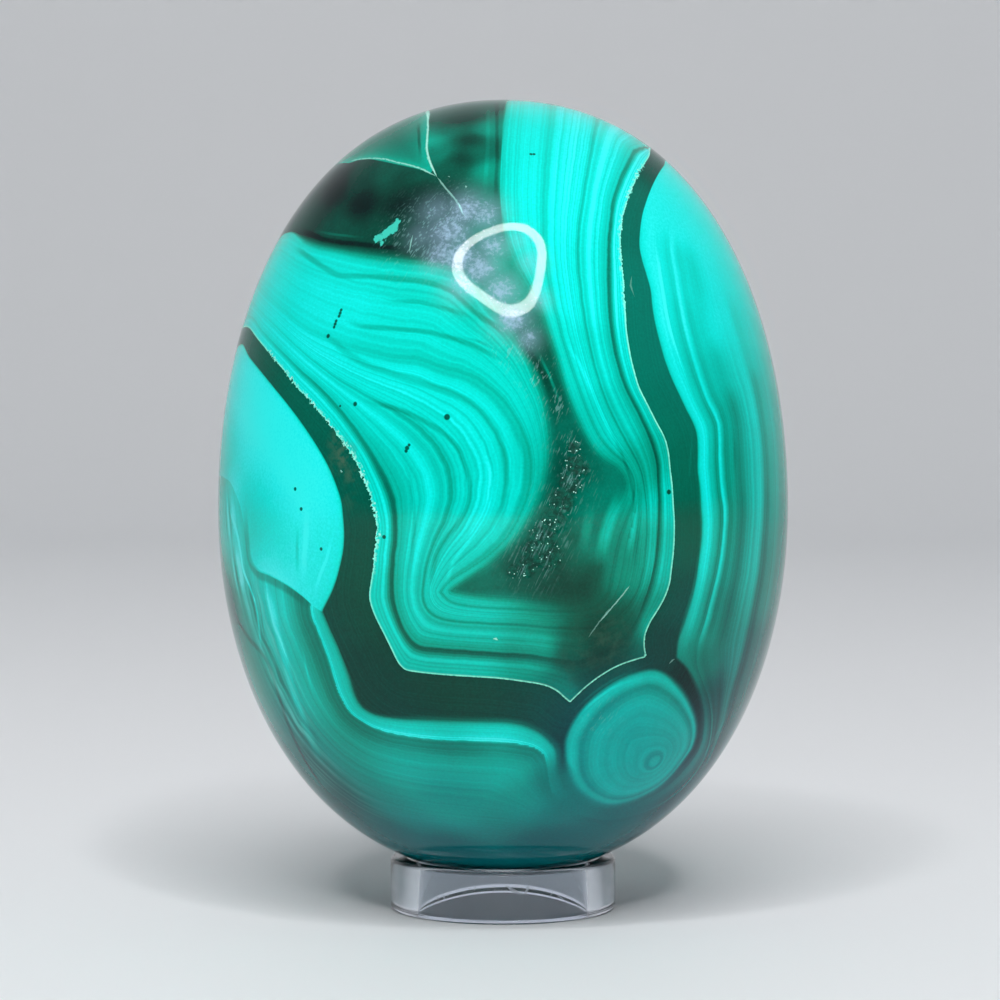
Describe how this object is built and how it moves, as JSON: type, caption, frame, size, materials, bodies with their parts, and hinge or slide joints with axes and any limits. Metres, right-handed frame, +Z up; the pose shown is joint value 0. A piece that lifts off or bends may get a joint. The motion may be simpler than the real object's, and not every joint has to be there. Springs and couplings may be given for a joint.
{
  "type": "decorative egg on stand",
  "caption": "Solid polished banded-stone egg, blunt end down, standing loose on a small clear ring stand with a bevelled seat.",
  "frame": {"origin": "on the table, at the centre of the ring's underside", "axes": "+Z up along the egg's long axis; -Y is the front, the side that shows the closed dark band and the round eye"},
  "size_m": [0.048, 0.048, 0.0682],
  "materials": {
    "banded_stone": "polished, banded light and dark green",
    "clear_acrylic": "clear, polished"
  },
  "bodies": {
    "stand": {"ring_stand": "clear_acrylic"},
    "egg": {"malachite_egg": "banded_stone"}
  },
  "joints": [
    {"name": "egg_lift", "type": "slide", "parent": "stand", "child": "egg", "axis": [0, 0, 1], "range_m": [0, 0.04]}
  ]
}
